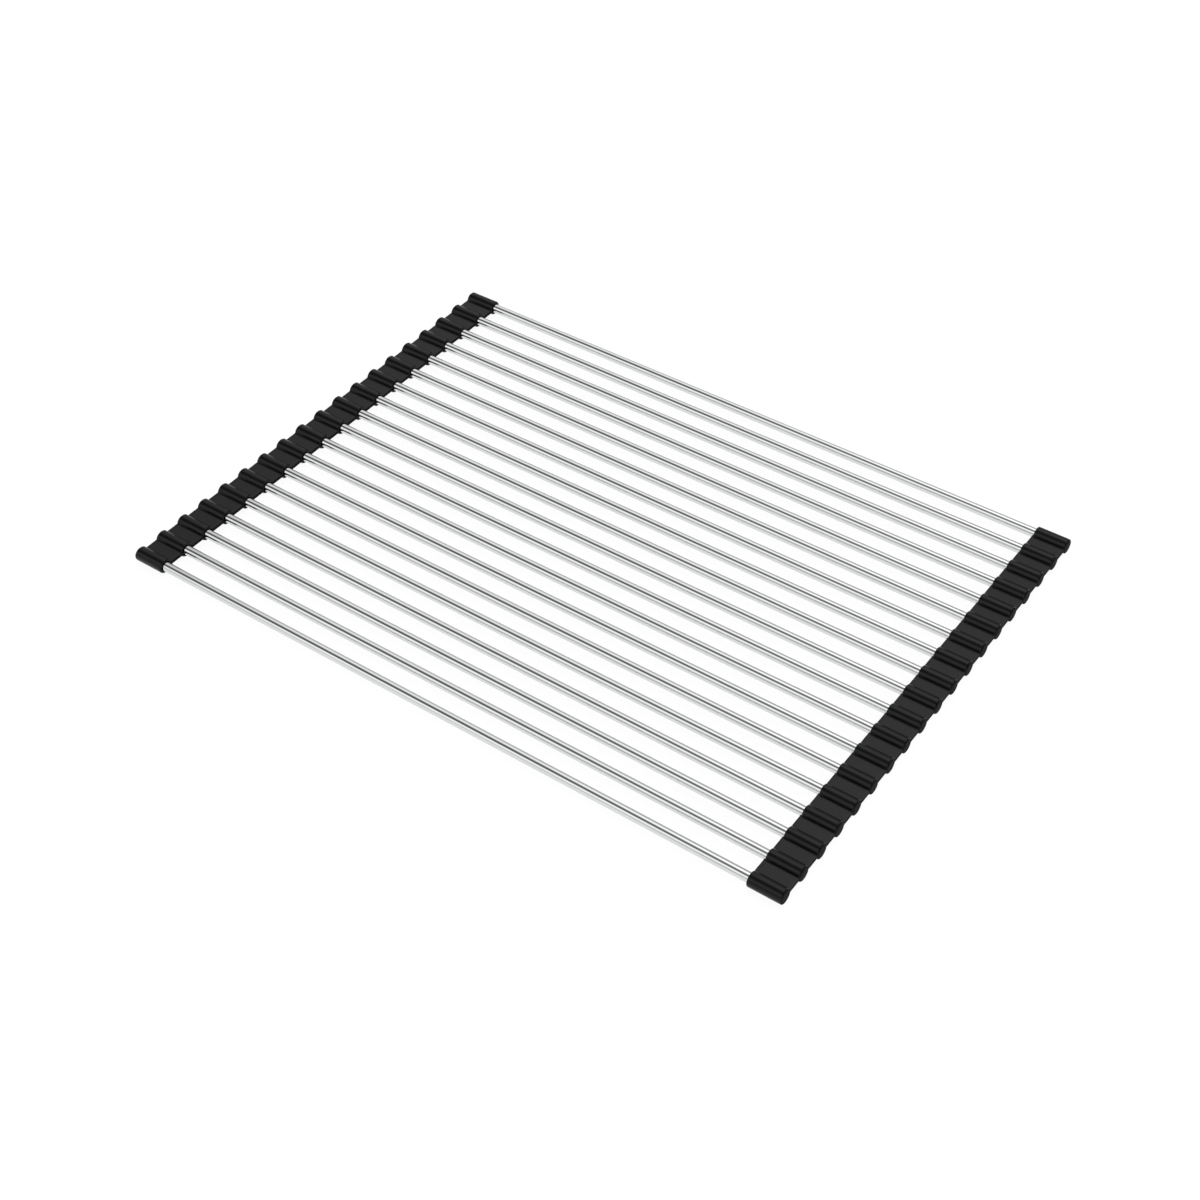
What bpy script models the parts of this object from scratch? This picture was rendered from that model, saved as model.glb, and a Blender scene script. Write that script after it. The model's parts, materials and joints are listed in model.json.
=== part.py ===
"""Roll-up dish drying rack: steel tubes held at both ends by moulded silicone strips.

Metres, +Z up. The rods run along X, and link 1 is the farthest one in +Y. The rack lies flat on
z = 0, with its middle on x = y = 0. Each strip is one row of sleeves joined by thin flat webs, and
bends along the middle of each web, so each link is a rod with one sleeve segment on each end.
"""

import math

import bmesh
import bpy
from mathutils import Vector

# The rack as a whole
ROD_COUNT = 19
ROD_PITCH = 0.0205
CLEAR_SPAN = 0.472  # bare rod between the mouths of its two sleeves

# Rods
ROD_DIAMETER = 0.0070
ROD_WALL = 0.0005
ROD_SIDES = 16

# Sleeves
SLEEVE_LENGTH = 0.0241
SLEEVE_RADIUS = 0.00535
LAND_WIDTH = 0.0030  # flat strip under each sleeve, on which the rack stands
LIP_ROUNDING = 0.0012
RIM_ROUNDING = 0.0010
STEP_LENGTH = 0.0008  # the last stretch before the outer end, where the upper half is lower
STEP_DEPTH = 0.0004
STEP_RUN = 0.0002
UPPER_STEPS = 8
LOWER_STEPS = 4

# Sockets
SOCKET_CLEARANCE = 0.0003
SOCKET_END_WALL = 0.0040
ROD_END_CLEARANCE = 0.0003

# Webs
WEB_THICKNESS = 0.0024
WEB_OUTER_SETBACK = 0.0003
WEB_MOUTH_OVERHANG = 0.0009  # how far the webs reach past the mouths, towards the rack's middle
HINGE_SEAM = 0.0003
TIGHTEST_BEND_DEG = 64.0  # the V on each hinge line leaves room for this bend, up or down

# Sizes that follow from those above
ROD_RADIUS = ROD_DIAMETER / 2
LAND_HALF_ANGLE = math.asin(LAND_WIDTH / 2 / SLEEVE_RADIUS)
AXIS_HEIGHT = SLEEVE_RADIUS * math.cos(LAND_HALF_ANGLE)
SOCKET_RADIUS = ROD_RADIUS + SOCKET_CLEARANCE
SOCKET_DEPTH = SLEEVE_LENGTH - SOCKET_END_WALL
ROD_LENGTH = CLEAR_SPAN + 2 * (SOCKET_DEPTH - ROD_END_CLEARANCE)
WEB_ROOT = SOCKET_RADIUS / 2
WEB_REACH = (ROD_PITCH - HINGE_SEAM) / 2


def make_material(name, color, roughness, metallic):
    """A Principled material of one plain colour."""
    material = bpy.data.materials.new(name)
    material.use_nodes = True
    shader = material.node_tree.nodes["Principled BSDF"]
    shader.inputs["Base Color"].default_value = (*color, 1.0)
    shader.inputs["Roughness"].default_value = roughness
    shader.inputs["Metallic"].default_value = metallic
    return material


def ring(x, radius, sides):
    """Points of a circle across X, about the X axis."""
    points = []
    for step in range(sides):
        angle = math.tau * (step + 0.5) / sides
        points.append(Vector((x, radius * math.cos(angle), radius * math.sin(angle))))
    return points


def skin(name, sections, closed=False):
    """A mesh over rings of points: capped at both ends, or joined end to end when closed."""
    bm = bmesh.new()
    rows = [[bm.verts.new(point) for point in section] for section in sections]
    pairs = list(zip(rows, rows[1:]))
    if closed:
        pairs.append((rows[-1], rows[0]))
    else:
        bm.faces.new(rows[0])
        bm.faces.new(rows[-1])
    for row, following in pairs:
        for index in range(len(row)):
            before = index - 1
            bm.faces.new((row[before], row[index], following[index], following[before]))
    bmesh.ops.recalc_face_normals(bm, faces=bm.faces)
    mesh = bpy.data.meshes.new(name)
    bm.to_mesh(mesh)
    bm.free()
    return mesh


def rod_mesh():
    """A straight tube along X, open at both ends."""
    end = ROD_LENGTH / 2
    bore = ROD_RADIUS - ROD_WALL
    places = [(-end, ROD_RADIUS), (end, ROD_RADIUS), (end, bore), (-end, bore)]
    return skin("rod", [ring(x, radius, ROD_SIDES) for x, radius in places], closed=True)


def rounded(distance, length):
    """Rises from 0 to 1 over length like a quarter circle."""
    share = min(max(distance / length, 0.0), 1.0)
    return math.sqrt(1.0 - (1.0 - share) ** 2)


def sleeve_section(s):
    """Outline of the sleeve at s from its outer end: round, with a lower upper half at the step."""
    lip = LIP_ROUNDING * (1.0 - rounded(SLEEVE_LENGTH - s, LIP_ROUNDING))
    rim = RIM_ROUNDING * (1.0 - rounded(s, RIM_ROUNDING))
    step = STEP_DEPTH if s <= STEP_LENGTH else 0.0
    radius = SLEEVE_RADIUS - lip - rim
    top = radius - step
    upper = [math.pi * count / UPPER_STEPS for count in range(UPPER_STEPS + 1)]
    side = (math.pi / 2 - LAND_HALF_ANGLE) / LOWER_STEPS
    lower = [math.pi + side * count for count in range(1, LOWER_STEPS + 1)]
    lower += [math.tau - side * count for count in range(LOWER_STEPS, 0, -1)]
    points = [(radius * math.cos(angle), top * math.sin(angle)) for angle in upper]
    points += [(radius * math.cos(angle), radius * math.sin(angle)) for angle in lower]
    return [Vector((s, y, z)) for y, z in points]


def sleeve_stations():
    """Distances from the outer end at which the sleeve's outline changes."""
    lip_start = SLEEVE_LENGTH - LIP_ROUNDING
    stations = [0.0, RIM_ROUNDING / 4, STEP_LENGTH, STEP_LENGTH + STEP_RUN]
    return stations + [lip_start, lip_start + LIP_ROUNDING * 3 / 4, SLEEVE_LENGTH]


def web_mesh(side):
    """Half a web from inside the sleeve to its hinge line, where it ends in a V."""
    half = WEB_THICKNESS / 2
    bevel = half * math.tan(math.radians(TIGHTEST_BEND_DEG / 2))
    shoulder = WEB_REACH - bevel
    outline = [(WEB_ROOT, -half), (shoulder, -half), (WEB_REACH, 0.0), (shoulder, half), (WEB_ROOT, half)]
    ends = (WEB_OUTER_SETBACK, SLEEVE_LENGTH + WEB_MOUTH_OVERHANG)
    return skin("web", [[Vector((x, side * y, z)) for y, z in outline] for x in ends])


def socket_mesh():
    """The blind hole for the rod, with an overrun through the mouth."""
    ends = (SOCKET_END_WALL, SLEEVE_LENGTH + SOCKET_DEPTH)
    return skin("socket", [ring(x, SOCKET_RADIUS, ROD_SIDES) for x in ends])


def combine(mesh, others, operation):
    """The mesh after a Boolean with each of the others, as a new mesh."""
    for other in others:
        base = bpy.data.objects.new("base", mesh)
        tool = bpy.data.objects.new("tool", other)
        for item in (base, tool):
            bpy.context.scene.collection.objects.link(item)
        boolean = base.modifiers.new("boolean", "BOOLEAN")
        boolean.operation = operation
        boolean.object = tool
        graph = bpy.context.evaluated_depsgraph_get()
        mesh = bpy.data.meshes.new_from_object(base.evaluated_get(graph))
        for item in (base, tool):
            bpy.data.objects.remove(item)
    return mesh


def sleeve_mesh(web_sides):
    """A sleeve from x = 0 at its outer end to its mouth in +X, with half webs on the given sides."""
    body = skin("sleeve", [sleeve_section(s) for s in sleeve_stations()])
    body = combine(body, [web_mesh(side) for side in web_sides], "UNION")
    return combine(body, [socket_mesh()], "DIFFERENCE")


def add_empty(name, location, parent):
    """An empty that carries a link, on the hinge line about which the link turns."""
    empty = bpy.data.objects.new(name, None)
    empty.location = location
    empty.parent = parent
    bpy.context.scene.collection.objects.link(empty)
    return empty


def add_piece(name, mesh, material, parent, location):
    """A named piece on its link, shaded smooth with sharp edges kept."""
    piece = bpy.data.objects.new(name, mesh)
    if not mesh.materials:
        mesh.materials.append(material)
    piece.location = location
    piece.parent = parent
    bpy.context.scene.collection.objects.link(piece)
    mesh.shade_smooth()
    mesh.set_sharp_from_angle(angle=math.radians(35.0))
    return piece


def build_rack():
    """The chain of links, each carried by the one before it."""
    steel = make_material("polished_stainless_steel", (0.72, 0.73, 0.75), 0.18, 1.0)
    silicone = make_material("black_silicone", (0.016, 0.016, 0.018), 0.5, 0.0)
    rod = rod_mesh()
    both, far, near = (1.0, -1.0), (1.0,), (-1.0,)
    sleeves = {sides: sleeve_mesh(sides) for sides in (both, far, near)}

    half_rack = ROD_PITCH * (ROD_COUNT - 1) / 2
    outer_end = CLEAR_SPAN / 2 + SLEEVE_LENGTH
    link = None
    for number in range(1, ROD_COUNT + 1):
        if link is None:
            start = Vector((0.0, half_rack, AXIS_HEIGHT))
            middle = Vector((0.0, 0.0, 0.0))
        else:
            start = Vector((0.0, middle.y - ROD_PITCH / 2, 0.0))
            middle = Vector((0.0, -ROD_PITCH / 2, 0.0))
        link = add_empty(f"link_{number:02d}_hinge", start, link)

        # A turned sleeve has its far web on the near side, so its sides are swapped
        left_sides, right_sides = both, both
        if number == 1:
            left_sides, right_sides = near, far
        elif number == ROD_COUNT:
            left_sides, right_sides = far, near
        offset = Vector((outer_end, 0.0, 0.0))
        add_piece(f"rod_{number:02d}", rod, steel, link, middle)
        add_piece(f"left_sleeve_{number:02d}", sleeves[left_sides], silicone, link, middle - offset)
        turned = sleeves[right_sides]
        right = add_piece(f"right_sleeve_{number:02d}", turned, silicone, link, middle + offset)
        right.rotation_euler.z = math.pi


for leftover in list(bpy.data.objects):
    bpy.data.objects.remove(leftover)
build_rack()
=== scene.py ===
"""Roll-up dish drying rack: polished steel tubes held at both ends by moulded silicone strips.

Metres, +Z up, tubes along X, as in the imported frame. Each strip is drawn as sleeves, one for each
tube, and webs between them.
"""

import json
import math

import bpy
import numpy as np
from bpy.props import FloatProperty, FloatVectorProperty, PointerProperty
from mathutils import Matrix, Vector

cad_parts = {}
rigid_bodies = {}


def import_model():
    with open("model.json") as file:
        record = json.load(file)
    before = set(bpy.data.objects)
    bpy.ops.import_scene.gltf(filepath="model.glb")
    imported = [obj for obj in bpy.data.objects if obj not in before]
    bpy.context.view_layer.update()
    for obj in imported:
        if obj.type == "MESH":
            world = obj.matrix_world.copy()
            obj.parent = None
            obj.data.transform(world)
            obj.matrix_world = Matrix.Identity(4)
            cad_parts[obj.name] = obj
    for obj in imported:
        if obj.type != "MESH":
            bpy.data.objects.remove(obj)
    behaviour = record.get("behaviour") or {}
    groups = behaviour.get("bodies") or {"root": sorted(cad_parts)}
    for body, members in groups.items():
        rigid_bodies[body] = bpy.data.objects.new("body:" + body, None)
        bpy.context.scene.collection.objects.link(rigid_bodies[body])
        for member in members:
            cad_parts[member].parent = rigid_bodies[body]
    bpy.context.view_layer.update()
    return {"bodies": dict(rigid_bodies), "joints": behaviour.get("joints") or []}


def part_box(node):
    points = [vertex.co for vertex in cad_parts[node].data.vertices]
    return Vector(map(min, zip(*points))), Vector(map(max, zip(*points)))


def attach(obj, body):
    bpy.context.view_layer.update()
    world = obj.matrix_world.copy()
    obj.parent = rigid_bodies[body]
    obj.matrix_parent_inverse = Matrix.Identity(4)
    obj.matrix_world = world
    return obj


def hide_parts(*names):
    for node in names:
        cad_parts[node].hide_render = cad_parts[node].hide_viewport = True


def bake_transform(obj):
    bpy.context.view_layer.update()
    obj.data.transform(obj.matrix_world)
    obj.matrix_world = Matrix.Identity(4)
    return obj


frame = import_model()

bl_info = {
    "name": "Roll-up dish drying rack",
    "version": (1, 0, 0),
    "blender": (4, 5, 0),
    "location": "View3D > Sidebar > Drying rack",
    "description": "Adds the tubes, sleeves, webs and studio of a roll-up drying rack",
    "category": "Add Mesh",
}

# Places and sizes that the frame gives
LINKS = sorted(frame["bodies"])
HINGES = sorted(frame["joints"], key=lambda joint: joint["child"])
SIDES = (("left", -1.0), ("right", 1.0))
PITCH = HINGES[0]["pos_m"][1] - HINGES[1]["pos_m"][1]
ROD_LOW, ROD_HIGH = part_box("rod_01")
SLEEVE_LOW, SLEEVE_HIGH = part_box("right_sleeve_01")
AXIS_HEIGHT = (ROD_HIGH.z + ROD_LOW.z) / 2
SLEEVE_RADIUS = SLEEVE_HIGH.z - AXIS_HEIGHT
INNER_X, OUTER_X = SLEEVE_LOW.x, SLEEVE_HIGH.x
STRIP_WIDTH = OUTER_X - INNER_X

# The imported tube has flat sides: its corners lie on the real tube, and its box is over the flats
ROD_SIDES = 16
ROD_RADIUS = (ROD_HIGH.z - ROD_LOW.z) / 2 / math.cos(math.pi / ROD_SIDES)

# How many points each curve is drawn with
TUBE_POINTS = 64
HALF_TURN_POINTS = 49  # round each half of a sleeve
RIM_POINTS = 9
CREASE_POINTS = 13
BODY_POINTS = 6
LIP_POINTS = 11
RECESS_POINTS = 9
EDGE_POINTS = 6
WIDTH_POINTS = 12  # across a web's flat
FILLET_POINTS = 6
BEND_POINTS = 10  # from a web's fillet to its middle
STATION_DECIMALS = 8  # places that agree to so many decimals of a metre are one place
SHARP_ANGLE = math.radians(38.0)  # edges over this angle aren't shaded smooth

# A Mix node's sockets for colours, by number because those for plain numbers have the same names
MIX_FIRST, MIX_SECOND, MIX_RESULT = 6, 7, 2

# The world's light: levels at angles in degrees, from the far horizon over the top to the near one
LIGHT_ACROSS = (
    (0.0, 0.12), (6.0, 0.1), (18.0, 0.12), (34.0, 0.6), (46.0, 1.4), (58.0, 2.25), (68.0, 2.2),
    (80.0, 1.25), (94.0, 0.32), (108.0, 0.2), (118.0, 0.4), (130.0, 1.25), (144.0, 1.5),
    (156.0, 0.8), (170.0, 0.25),
)
LIGHT_SLANTING = (
    (0.0, 0.5), (6.0, 0.55), (14.0, 0.6), (34.0, 0.78), (46.0, 1.1), (62.0, 1.2), (70.0, 1.0),
    (80.0, 0.5), (94.0, 0.12), (110.0, 0.07), (118.0, 0.18), (130.0, 1.0), (144.0, 1.4),
    (158.0, 1.0), (172.0, 0.75),
)
LIGHT_ALONG = (
    (0.0, 0.3), (14.0, 0.4), (34.0, 0.45), (46.0, 0.55), (62.0, 0.75), (70.0, 0.7),
    (80.0, 0.4), (94.0, 0.12), (110.0, 0.07), (118.0, 0.18), (130.0, 0.9), (144.0, 1.2),
    (158.0, 0.8), (172.0, 0.45),
)
BELOW = (-180.0, -1.0)  # angles between which the light is the plain one from below
SLANTING_BAND = (0.12, 0.48)  # where light across the tubes turns into slanting light, as a size of X
ALONG_BAND = (0.52, 0.64)  # where slanting light turns into light along the tubes

# The camera's film and what it can see, in millimetres and metres
FILM_WIDTH = 36.0
NEAREST, FARTHEST = 0.01, 50.0


def link_number(body):
    """The two digits that a link's name ends with."""
    return body.split("_")[1]


def link_y(body):
    """Where a link's rod runs across the rack."""
    low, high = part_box(f"rod_{link_number(body)}")
    return (low.y + high.y) / 2


def length_setting(name, description, default):
    """A length that a user may set."""
    return FloatProperty(
        name=name, description=description, default=default, unit="LENGTH", precision=5, min=0.0)


def angle_setting(name, description, degrees):
    """An angle that a user may set."""
    return FloatProperty(
        name=name, description=description, default=math.radians(degrees), subtype="ANGLE", precision=3)


def number_setting(name, description, default):
    """A plain number from 0 upwards."""
    return FloatProperty(name=name, description=description, default=default, min=0.0)


def colour_setting(name, description, default):
    """A colour that a user may set."""
    return FloatVectorProperty(
        name=name, description=description, default=default, subtype="COLOR", min=0.0, max=1.0)


class RodSettings(bpy.types.PropertyGroup):
    """Sizes and finish of the steel tubes."""

    wall: length_setting("Wall", "Thickness of the tube's wall", 0.0005)
    edge: length_setting("Edge", "Bevel of the cut ends, inside the sleeves", 0.00015)
    steel: colour_setting("Steel", "Colour of the polished steel", (0.72, 0.725, 0.73))
    shade: number_setting("Shade", "Brightness of its darker patches, next to the steel's", 0.94)
    polish: number_setting("Roughness", "Roughness of the polished surface", 0.08)
    lines: number_setting("Lines", "How much the drawn lines change the roughness", 0.08)
    clouds: number_setting("Clouds", "How much the patches change the roughness", 0.05)
    line_depth: length_setting("Line depth", "Depth of the drawn lines", 0.000004)


class SleeveSettings(bpy.types.PropertyGroup):
    """Sizes of the sleeves, along the tube from the outer end to the mouth."""

    mouth_setback: length_setting(
        "Mouth setback", "How far the mouth lies behind the webs' inner edge", 0.0006)
    lip: length_setting("Lip rounding", "Rounding of the mouth that the tube comes out of", 0.0012)
    rim: length_setting("Rim rounding", "Rounding of the outer end", 0.0010)
    step: length_setting("Step", "Length of the lower stretch of the upper half's outer end", 0.0008)
    step_depth: length_setting("Step depth", "How much lower that stretch is", 0.0004)
    crease: length_setting(
        "Crease", "Depth of the crease where the step meets the full height", 0.00055)
    crease_width: length_setting("Crease width", "Half of the crease's width", 0.0003)
    bore_clearance: length_setting(
        "Bore clearance", "Gap between the tube and its socket", 0.00022)
    recess: length_setting("Recess", "How much wider the socket is at the mouth", 0.0004)
    recess_depth: length_setting("Recess depth", "How deep the wider part goes", 0.0014)
    end_wall: length_setting("End wall", "Solid silicone beyond the tube's end", 0.0039)


class WebSettings(bpy.types.PropertyGroup):
    """Sizes of the flat webs that join the sleeves."""

    thickness: length_setting("Thickness", "Thickness of the web", 0.0024)
    outer_setback: length_setting(
        "Outer setback", "How far the web's outer edge lies behind the sleeves' ends", 0.00032)
    edge: length_setting("Edge rounding", "Rounding of the web's free edges", 0.0003)
    fillet: length_setting("Fillet", "Rounding where the web meets a sleeve", 0.00015)
    root: length_setting("Root", "How deep the web runs into a sleeve's wall", 0.0012)
    stiff_length: length_setting(
        "Stiff length", "Flat part beside each sleeve that doesn't bend", 0.0005)


class SiliconeSettings(bpy.types.PropertyGroup):
    """Finish of the moulded silicone."""

    black: colour_setting("Black", "Colour of the silicone", (0.0035, 0.0035, 0.0038))
    bloom: colour_setting("Bloom", "Colour of its paler patches", (0.0065, 0.0065, 0.007))
    roughness: number_setting("Roughness", "Roughness of the moulded surface", 0.23)
    gloss: number_setting("Gloss", "Level of its reflections, where 0.5 is that of plastic", 0.21)
    patches: number_setting("Patches", "How much the patches change the roughness", 0.16)
    speckle: number_setting("Speckle", "How much the grain changes the roughness", 0.10)
    grain: length_setting("Grain", "Depth of the mould's fine grain", 0.00001)
    cut: number_setting("Cut edges", "How much rougher the strips' long edges are", 0.6)
    cut_start: length_setting("Cut start", "Where they begin, from the strip's edge", 0.0006)
    cut_full: length_setting("Cut full", "Where they are at their roughest", 0.0003)


class StudioSettings(bpy.types.PropertyGroup):
    """Camera, light and floor."""

    azimuth: angle_setting("Azimuth", "The camera's turn from +Y towards -X", 35.905)
    elevation: angle_setting("Elevation", "How far it looks down", 43.401)
    roll: angle_setting("Roll", "Its tilt about its view", -0.737)
    lens: FloatProperty(name="Lens", description="Its focal length", default=59.855, unit="CAMERA")
    camera_x: FloatProperty(
        name="Camera X", description="Its place along the tubes", default=0.5962, unit="LENGTH")
    camera_y: FloatProperty(
        name="Camera Y", description="Its place across the tubes", default=-0.8282, unit="LENGTH")
    camera_rise: FloatProperty(
        name="Camera rise", description="Its height over the tubes", default=0.9176, unit="LENGTH")
    floor: colour_setting("Floor", "Colour of the floor", (0.80, 0.80, 0.80))
    floor_size: length_setting("Floor size", "Half of the floor's side", 20.0)
    paper: number_setting("White", "Level of the white backdrop and of the light from below", 1.07)
    shadow: number_setting("Shadow", "Share of the floor itself in what shows of it", 0.12)
    world: number_setting("World", "Strength of the light from all round", 1.0)


SETTINGS = {
    "rack_rods": RodSettings,
    "rack_sleeves": SleeveSettings,
    "rack_webs": WebSettings,
    "rack_silicone": SiliconeSettings,
    "rack_studio": StudioSettings,
}


class Value:
    """An output socket with Python's operators: each operation adds a Math node."""

    def __init__(self, nodes, socket):
        self.nodes = nodes
        self.socket = socket

    def math(self, operation, *others):
        """This value first, then the others."""
        values = dict(enumerate((self, *others)))
        return self.nodes.add("ShaderNodeMath", {"operation": operation}, values)

    def reverse(self, operation, other):
        """The other value first, then this one."""
        return self.nodes.add("ShaderNodeMath", {"operation": operation}, {0: other, 1: self})

    def __add__(self, other):
        return self.math("ADD", other)

    def __radd__(self, other):
        return self.math("ADD", other)

    def __sub__(self, other):
        return self.math("SUBTRACT", other)

    def __rsub__(self, other):
        return self.reverse("SUBTRACT", other)

    def __mul__(self, other):
        return self.math("MULTIPLY", other)

    def __rmul__(self, other):
        return self.math("MULTIPLY", other)

    def __truediv__(self, other):
        return self.math("DIVIDE", other)


class Nodes:
    """A node tree that nodes are added to, emptied first."""

    def __init__(self, owner):
        owner.use_nodes = True
        self.tree = owner.node_tree
        self.tree.nodes.clear()

    def add(self, kind, settings=None, inputs=None, output=0):
        """Adds a node: its settings come first, then the values or links of its sockets.

        It gives the output that is asked for, or several of them where output is a tuple.
        """
        node = self.tree.nodes.new(kind)
        for key, setting in (settings or {}).items():
            if key == "stops":
                self.fill_ramp(node.color_ramp.elements, setting)
            else:
                setattr(node, key, setting)
        for key, value in (inputs or {}).items():
            if isinstance(value, Value):
                self.tree.links.new(value.socket, node.inputs[key])
            else:
                node.inputs[key].default_value = value
        if not node.outputs:
            return None
        if isinstance(output, tuple):
            return [Value(self, node.outputs[name]) for name in output]
        return Value(self, node.outputs[output])

    def fill_ramp(self, ramp, stops):
        """Gives a grey ramp its stops, as places from 0 to 1 and levels."""
        while len(ramp) < len(stops):
            ramp.new(0.5)
        for stop, (place, level) in zip(ramp, stops):
            stop.position = place
            stop.color = (level, level, level, 1.0)

    def noise(self, place, **inputs):
        """A cloudy pattern with levels about 0.5."""
        return self.add("ShaderNodeTexNoise", {}, {"Vector": place, **inputs})

    def smooth_rise(self, value, start, end):
        """Goes from 0 to 1 while a value goes from its start to its end, level at both."""
        return self.add("ShaderNodeMapRange", {"interpolation_type": "SMOOTHSTEP"}, {
            "Value": value, "From Min": start, "From Max": end})

    def mix_colours(self, part, first, second):
        """The first colour, or the second where the part is 1."""
        return self.add("ShaderNodeMix", {"data_type": "RGBA"}, {
            "Factor": part, MIX_FIRST: first, MIX_SECOND: second}, output=MIX_RESULT)

    def mix_shaders(self, part, first, second):
        """The first shader, or the second where the part is 1."""
        return self.add("ShaderNodeMixShader", {}, {0: part, 1: first, 2: second})


def surface(name, rows, capped=True):
    """A mesh over a grid of points, rows by columns by three.

    Each row is a ring that closes on itself, with faces to the next row. The first and last row are
    capped with flat faces, or joined to each other where the grid isn't capped.
    """
    count, width = rows.shape[:2]
    index = np.arange(count * width).reshape(count, width)
    if not capped:
        index = np.vstack([index, index[:1]])
    following = np.roll(index, -1, axis=1)
    quads = np.stack([index[:-1], following[:-1], following[1:], index[1:]], axis=-1).reshape(-1, 4)
    faces = quads.tolist()
    if capped:
        faces.append(index[0, ::-1].tolist())
        faces.append(index[-1].tolist())
    mesh = bpy.data.meshes.new(name)
    mesh.from_pydata(rows.reshape(-1, 3).tolist(), [], faces)
    mesh.shade_smooth()
    mesh.set_sharp_from_angle(angle=SHARP_ANGLE)
    piece = bpy.data.objects.new(name, mesh)
    bpy.context.scene.collection.objects.link(piece)
    return piece


def rounded(distance, span):
    """Rises from 0 to 1 over the span like a quarter circle."""
    part = np.clip(distance / span, 0.0, 1.0)
    return np.sqrt(1.0 - (1.0 - part) ** 2)


def eased(distance, span):
    """Rises from 0 to 1 over the span, level at both ends."""
    part = np.clip(distance / span, 0.0, 1.0)
    return part * part * (3.0 - 2.0 * part)


def arc_steps(span, count):
    """Places from 0 to the span, spaced like points of a quarter circle."""
    return span * (1.0 - np.cos(np.linspace(0.0, math.pi / 2, count)))


def rod_rows(y, wall, edge):
    """A tube along X: its profile goes along the outer skin, round the cut end and back inside.

    Profile points are (x, radius). Each is carried round the tube's axis on a circle.
    """
    end = ROD_HIGH.x
    outer, inner = ROD_RADIUS, ROD_RADIUS - wall
    profile = [(-end, outer - edge), (-end + edge, outer), (end - edge, outer), (end, outer - edge)]
    profile += [(end, inner), (-end, inner)]
    x, radius = np.array(profile).T
    turn = np.linspace(0.0, math.tau, TUBE_POINTS, endpoint=False)
    rows = np.empty((len(profile), len(turn), 3))
    rows[..., 0] = x[:, None]
    rows[..., 1] = y + radius[:, None] * np.cos(turn)
    rows[..., 2] = AXIS_HEIGHT + radius[:, None] * np.sin(turn)
    return rows


def sleeve_stations(sleeve, mouth):
    """Distances from the outer end, close together where the outline curves."""
    rim = arc_steps(sleeve.rim, RIM_POINTS)
    turn = np.linspace(0.0, math.pi, CREASE_POINTS)
    crease = sleeve.step - sleeve.crease_width * np.cos(turn)
    lip = mouth - arc_steps(sleeve.lip, LIP_POINTS)
    past_step = 2.0 * sleeve.step
    body = np.linspace(past_step, lip[-1], BODY_POINTS)
    return np.unique(np.round(np.concatenate([rim, crease, body, lip]), STATION_DECIMALS))


def sleeve_rows(side, y, sleeve):
    """A sleeve about the tube's axis, as rows of points round its section.

    At a distance s from the outer end the section is a circle, flat where the rack rests on it. Its
    radius shrinks like a quarter circle at both ends. The upper half is an ellipse, lower at the
    step, and the step ends in a crease with a round bottom. Past the mouth the rows run back along
    the socket, a circle that narrows behind the mouth and goes on to its blind end.
    """
    mouth = STRIP_WIDTH - sleeve.mouth_setback
    s = sleeve_stations(sleeve, mouth)[:, None]
    high = np.linspace(0.0, math.pi, HALF_TURN_POINTS)
    low = np.linspace(math.pi, math.tau, HALF_TURN_POINTS)[1:-1]
    lip = sleeve.lip * (1.0 - rounded(mouth - s, sleeve.lip))
    rim = sleeve.rim * (1.0 - rounded(s, sleeve.rim))
    radius = SLEEVE_RADIUS - lip - rim
    from_crease = np.clip((s - sleeve.step) / sleeve.crease_width, -1.0, 1.0)
    crease = sleeve.crease * np.sqrt(1.0 - from_crease ** 2)
    top = radius - crease - sleeve.step_depth * (s < sleeve.step)
    across = np.hstack([radius * np.cos(high), radius * np.cos(low)])
    height = np.hstack([top * np.sin(high), np.maximum(radius * np.sin(low), -AXIS_HEIGHT)])
    along = np.broadcast_to(s, across.shape)

    # The socket, from the mouth to its blind end
    turn = np.concatenate([high, low])
    bore = ROD_RADIUS + sleeve.bore_clearance
    recess = np.linspace(0.0, sleeve.recess_depth, RECESS_POINTS)
    half_recess = sleeve.recess_depth / 2
    depth = np.append(recess, mouth - sleeve.end_wall)
    socket = bore + sleeve.recess * (1.0 - eased(depth - half_recess, half_recess))
    along = np.vstack([along, np.broadcast_to(mouth - depth[:, None], (len(depth), len(turn)))])
    across = np.vstack([across, socket[:, None] * np.cos(turn)])
    height = np.vstack([height, socket[:, None] * np.sin(turn)])

    return np.stack([side * (OUTER_X - along), y - side * across, AXIS_HEIGHT + height], axis=-1)


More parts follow.
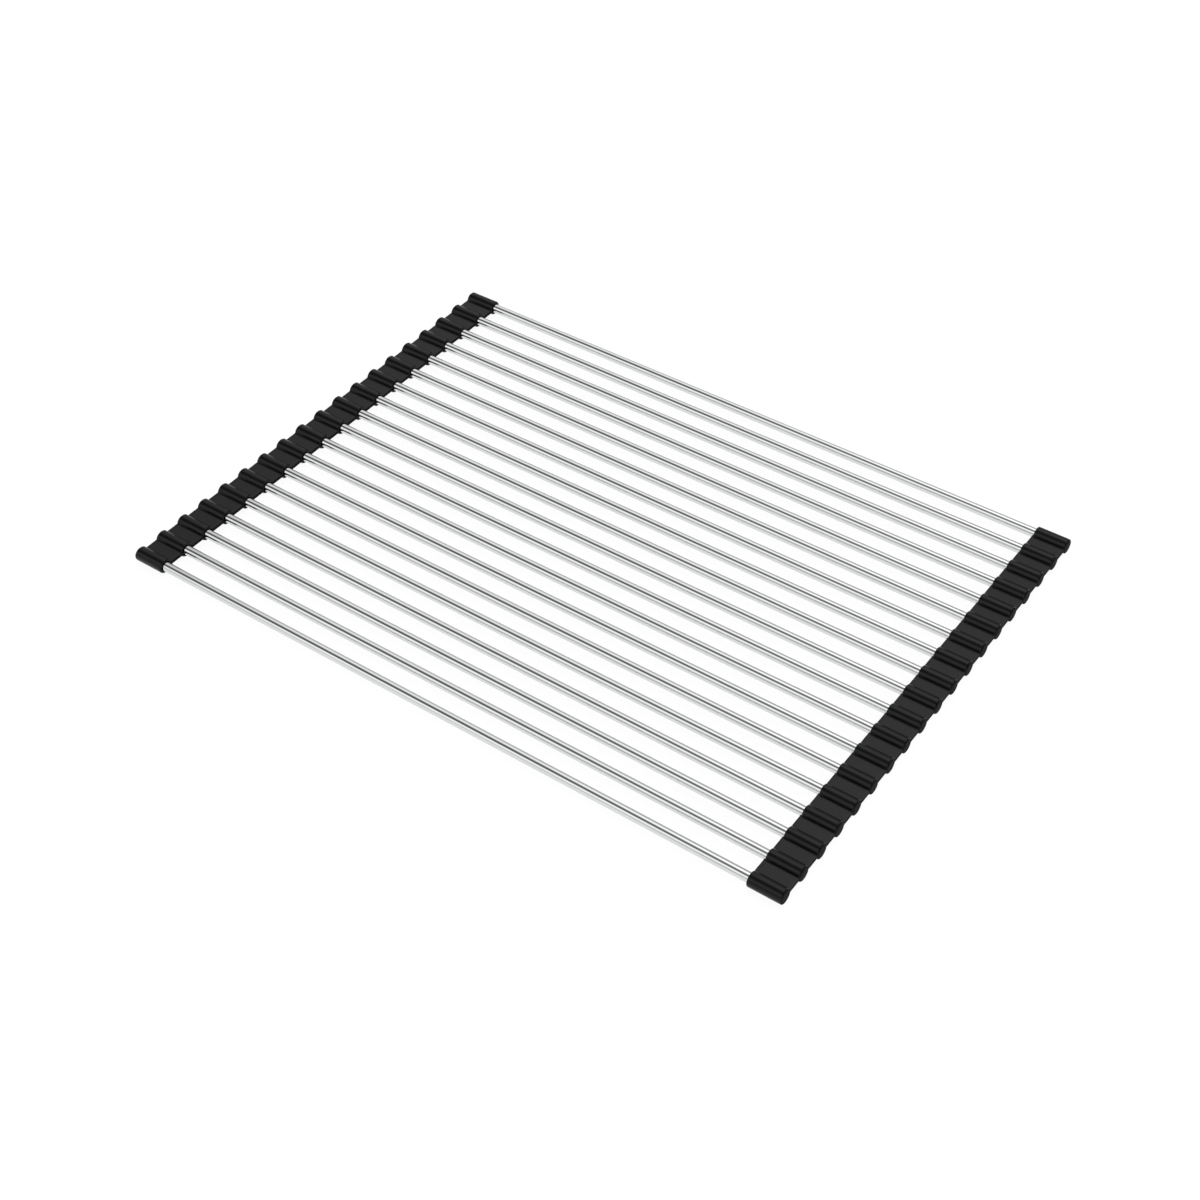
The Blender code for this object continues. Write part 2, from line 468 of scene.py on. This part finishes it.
def web_rows(side, y_far, y_near, web):
    """A web from one sleeve to the next, as rows of points round its rectangle with round edges.

    Its half thickness grows by a fillet, a quarter circle hollowed out, where it meets a sleeve.
    """
    half, edge = web.thickness / 2, web.edge
    first, last = web.outer_setback, STRIP_WIDTH
    round_edge = arc_steps(edge, EDGE_POINTS)
    flat = np.linspace(first, last, WIDTH_POINTS)[1:-1]
    s = np.concatenate([first + round_edge, flat, last - round_edge[::-1]])
    level = half - edge * (1.0 - rounded(np.minimum(s - first, last - s), edge))
    along = np.concatenate([s, s[::-1]])
    height = np.concatenate([level, -level[::-1]])

    wall = math.sqrt(SLEEVE_RADIUS ** 2 - (half + web.fillet) ** 2)
    fillet = wall + arc_steps(web.fillet, FILLET_POINTS)[1:]
    past_fillet = wall + 2.0 * web.fillet
    bend = np.linspace(past_fillet, PITCH / 2, BEND_POINTS)
    reach = np.concatenate([[SLEEVE_RADIUS - web.root, wall], fillet, bend])
    y = np.concatenate([y_far - reach, (y_near + reach)[::-1][1:]])
    gap = np.minimum(y_far - y, y - y_near) - wall
    hollow = 1.0 - np.clip(gap / web.fillet, 0.0, 1.0)
    flare = web.fillet * (1.0 - np.sqrt(1.0 - hollow ** 2))
    grown = height * (1.0 + flare[:, None] / half)

    rows = np.empty((len(y), len(along), 3))
    rows[..., 0] = side * (OUTER_X - along)
    rows[..., 1] = y[:, None]
    rows[..., 2] = AXIS_HEIGHT + grown

    # The left web is a mirror image, so its rings run backwards and its faces still point outwards
    return rows if side > 0 else rows[:, ::-1]


def steel_material(rods):
    """Polished tube: bright steel with cloudy patches and faint drawn lines along it."""
    material = bpy.data.materials.new("polished_steel")
    nodes = Nodes(material)
    place = nodes.add("ShaderNodeTexCoord", output="Object")
    fine_round_the_tube = (12.0, 3600.0, 3600.0)
    stretched = nodes.add("ShaderNodeMapping", {"vector_type": "POINT"}, {
        "Vector": place, "Scale": fine_round_the_tube})
    lines = nodes.noise(stretched, Scale=1.0, Detail=3.0, Roughness=0.6)
    cloud = nodes.noise(place, Scale=35.0, Detail=2.0)
    roughness = (lines - 0.5) * rods.lines + (cloud - 0.5) * rods.clouds + rods.polish
    darker = [rods.shade * channel for channel in rods.steel]
    tint = nodes.mix_colours(cloud, (*rods.steel, 1.0), (*darker, 1.0))
    bump = nodes.add("ShaderNodeBump", {}, {
        "Strength": 0.25, "Distance": rods.line_depth, "Height": lines})
    shader = nodes.add("ShaderNodeBsdfPrincipled", {}, {
        "Base Color": tint, "Metallic": 1.0, "Roughness": roughness, "Normal": bump})
    nodes.add("ShaderNodeOutputMaterial", {}, {"Surface": shader})
    return material


def silicone_material(silicone):
    """Moulded silicone: satin black with a fine grain, paler and rougher patches, and matt edges."""
    material = bpy.data.materials.new("black_silicone")
    nodes = Nodes(material)
    place = nodes.add("ShaderNodeTexCoord", output="Object")
    patch = nodes.noise(place, Scale=90.0, Detail=4.0, Roughness=0.55)
    grain = nodes.noise(place, Scale=2600.0, Detail=2.0)
    ripple = nodes.noise(place, Scale=240.0, Detail=1.0)
    tone = nodes.mix_colours(patch, (*silicone.black, 1.0), (*silicone.bloom, 1.0))

    # The long edges, both on either strip, by their distance from the strip's middle
    along = nodes.add("ShaderNodeSeparateXYZ", {}, {"Vector": place}, output="X")
    from_middle = (along.math("ABSOLUTE") - (INNER_X + OUTER_X) / 2).math("ABSOLUTE")
    edge = STRIP_WIDTH / 2
    matt = nodes.smooth_rise(from_middle, edge - silicone.cut_start, edge - silicone.cut_full)

    uneven = (patch - 0.5) * silicone.patches + (grain - 0.5) * silicone.speckle
    roughness = uneven + silicone.roughness + matt * silicone.cut
    grain_height, ripple_height = 0.6, 1.2
    bump = nodes.add("ShaderNodeBump", {}, {
        "Strength": 0.6,
        "Distance": silicone.grain,
        "Height": grain * grain_height + ripple * ripple_height,
    })
    shader = nodes.add("ShaderNodeBsdfPrincipled", {}, {
        "Base Color": tone,
        "Roughness": roughness,
        "Specular IOR Level": silicone.gloss,
        "Normal": bump,
    })
    nodes.add("ShaderNodeOutputMaterial", {}, {"Surface": shader})
    return material


def finish_piece(piece, material):
    """Gives a new piece its material."""
    piece.data.materials.append(material)


class RACK_OT_add_rods(bpy.types.Operator):
    """Add the steel tubes"""

    bl_idname = "rack.add_rods"
    bl_label = "Add tubes"

    def execute(self, context):
        rods = context.scene.rack_rods
        steel = steel_material(rods)
        for body in LINKS:
            number = link_number(body)
            rows = rod_rows(link_y(body), rods.wall, rods.edge)
            piece = surface(f"tube_{number}", rows, capped=False)
            finish_piece(piece, steel)
            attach(piece, body)
            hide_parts(f"rod_{number}")
        return {"FINISHED"}


class RACK_OT_add_strips(bpy.types.Operator):
    """Add the silicone sleeves and the webs between them"""

    bl_idname = "rack.add_strips"
    bl_label = "Add strips"

    def execute(self, context):
        scene = context.scene
        silicone = silicone_material(scene.rack_silicone)
        for name, side in SIDES:
            self.add_sleeves(scene, name, side, silicone)
            self.add_webs(scene, name, side, silicone)
        return {"FINISHED"}

    def add_sleeves(self, scene, name, side, material):
        for body in LINKS:
            number = link_number(body)
            rows = sleeve_rows(side, link_y(body), scene.rack_sleeves)
            piece = surface(f"{name}_moulded_sleeve_{number}", rows)
            finish_piece(piece, material)
            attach(piece, body)
            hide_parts(f"{name}_sleeve_{number}")

    def add_webs(self, scene, name, side, material):
        web = scene.rack_webs
        for hinge in HINGES:
            far, near = hinge["parent"], hinge["child"]
            y_far, y_near = link_y(far), link_y(near)
            piece = surface(f"{name}_web_{link_number(far)}", web_rows(side, y_far, y_near, web))
            finish_piece(piece, material)
            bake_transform(piece)


def light_row(nodes, turn, paper, levels):
    """Grey levels over a turn about X, from 0 to 1, with the plain light from below."""
    row = [(angle, paper) for angle in BELOW] + list(levels)
    stops = [(0.5 + angle / 360.0, level) for angle, level in row]
    return nodes.add("ShaderNodeValToRGB", {"stops": stops}, {"Fac": turn})


def studio_world(studio):
    """Long soft boxes over the rack with a dark gap between them, alike towards both strips.

    The light depends on the direction's turn about X: its angle from the far horizon over the top
    to the near one. There is a row of levels for light across the tubes, one for slanting light and
    one for light along them, and the size of the direction's X turns one into the next. The camera
    sees plain white instead.
    """
    world = bpy.data.worlds.new("studio")
    bpy.context.scene.world = world
    nodes = Nodes(world)
    direction = nodes.add("ShaderNodeTexCoord", output="Generated")
    axes = ("X", "Y", "Z")
    x, y, z = nodes.add("ShaderNodeSeparateXYZ", {}, {"Vector": direction}, output=axes)
    turn = z.math("ARCTAN2", y) / math.tau + 0.5
    across, slanting, along = (
        light_row(nodes, turn, studio.paper, levels)
        for levels in (LIGHT_ACROSS, LIGHT_SLANTING, LIGHT_ALONG))
    slant = x.math("ABSOLUTE")
    light = nodes.mix_colours(nodes.smooth_rise(slant, *SLANTING_BAND), across, slanting)
    light = nodes.mix_colours(nodes.smooth_rise(slant, *ALONG_BAND), light, along)
    lit = nodes.add("ShaderNodeBackground", {}, {"Color": light, "Strength": studio.world})
    backdrop = nodes.add("ShaderNodeBackground", {}, {
        "Color": (1.0, 1.0, 1.0, 1.0), "Strength": studio.paper})
    seen = nodes.add("ShaderNodeLightPath", output="Is Camera Ray")
    mixed = nodes.mix_shaders(seen, lit, backdrop)
    nodes.add("ShaderNodeOutputWorld", {}, {"Surface": mixed})


def floor_piece(studio):
    """A flat floor under the rack, with a soft shadow.

    To the camera, and in the steel, it is clear enough to show the white below it, and anything
    that bends down through it. It lights the rack as a plain matt floor.
    """
    half = studio.floor_size
    corners = [(-half, -half, 0.0), (half, -half, 0.0), (half, half, 0.0), (-half, half, 0.0)]
    mesh = bpy.data.meshes.new("floor")
    mesh.from_pydata(corners, [], [(0, 1, 2, 3)])
    floor = bpy.data.objects.new("floor", mesh)
    bpy.context.scene.collection.objects.link(floor)
    material = bpy.data.materials.new("floor")
    nodes = Nodes(material)
    rays = ("Is Camera Ray", "Is Glossy Ray", "Is Transmission Ray")
    direct, mirrored, refracted = nodes.add("ShaderNodeLightPath", output=rays)
    seen = direct.math("MAXIMUM", mirrored).math("MAXIMUM", refracted)
    matt = nodes.add("ShaderNodeBsdfDiffuse", {}, {"Color": (*studio.floor, 1.0)})
    clear = nodes.add("ShaderNodeBsdfTransparent")
    mixed = nodes.mix_shaders(seen * (1.0 - studio.shadow), matt, clear)
    nodes.add("ShaderNodeOutputMaterial", {}, {"Surface": mixed})
    mesh.materials.append(material)


def studio_camera(studio):
    """The camera, turned by its azimuth, elevation and roll."""
    level, drop = math.cos(studio.elevation), math.sin(studio.elevation)
    forward = Vector((-math.sin(studio.azimuth) * level, math.cos(studio.azimuth) * level, -drop))
    right = forward.cross(Vector((0.0, 0.0, 1.0))).normalized()
    up = right.cross(forward)
    facing = Matrix((right, up, -forward)).transposed().to_4x4()
    tilt = Matrix.Rotation(studio.roll, 4, "Z")
    place = Vector((studio.camera_x, studio.camera_y, AXIS_HEIGHT + studio.camera_rise))
    data = bpy.data.cameras.new("camera")
    data.sensor_width = FILM_WIDTH
    data.lens = studio.lens
    data.clip_start = NEAREST
    data.clip_end = FARTHEST
    camera = bpy.data.objects.new("camera", data)
    camera.matrix_world = Matrix.Translation(place) @ facing @ tilt
    bpy.context.scene.collection.objects.link(camera)
    bpy.context.scene.camera = camera


class RACK_OT_add_studio(bpy.types.Operator):
    """Add the floor, the light and the camera"""

    bl_idname = "rack.add_studio"
    bl_label = "Add studio"

    def execute(self, context):
        studio = context.scene.rack_studio
        studio_world(studio)
        floor_piece(studio)
        studio_camera(studio)
        context.scene.view_settings.view_transform = "Standard"
        return {"FINISHED"}


class RACK_PT_panel(bpy.types.Panel):
    """Buttons for the rack's pieces and their sizes"""

    bl_label = "Drying rack"
    bl_space_type = "VIEW_3D"
    bl_region_type = "UI"
    bl_category = "Drying rack"

    def draw(self, context):
        for operator in OPERATORS:
            self.layout.operator(operator.bl_idname)
        for name, group in SETTINGS.items():
            box = self.layout.box()
            for key in group.__annotations__:
                box.prop(getattr(context.scene, name), key)


OPERATORS = (RACK_OT_add_rods, RACK_OT_add_strips, RACK_OT_add_studio)
CLASSES = (*SETTINGS.values(), *OPERATORS, RACK_PT_panel)


def register():
    for item in CLASSES:
        bpy.utils.register_class(item)
    for name, group in SETTINGS.items():
        setattr(bpy.types.Scene, name, PointerProperty(type=group))


def unregister():
    for name in SETTINGS:
        delattr(bpy.types.Scene, name)
    for item in reversed(CLASSES):
        bpy.utils.unregister_class(item)


def main():
    register()
    bpy.ops.rack.add_rods()
    bpy.ops.rack.add_strips()
    bpy.ops.rack.add_studio()


if __name__ == "__main__":
    main()
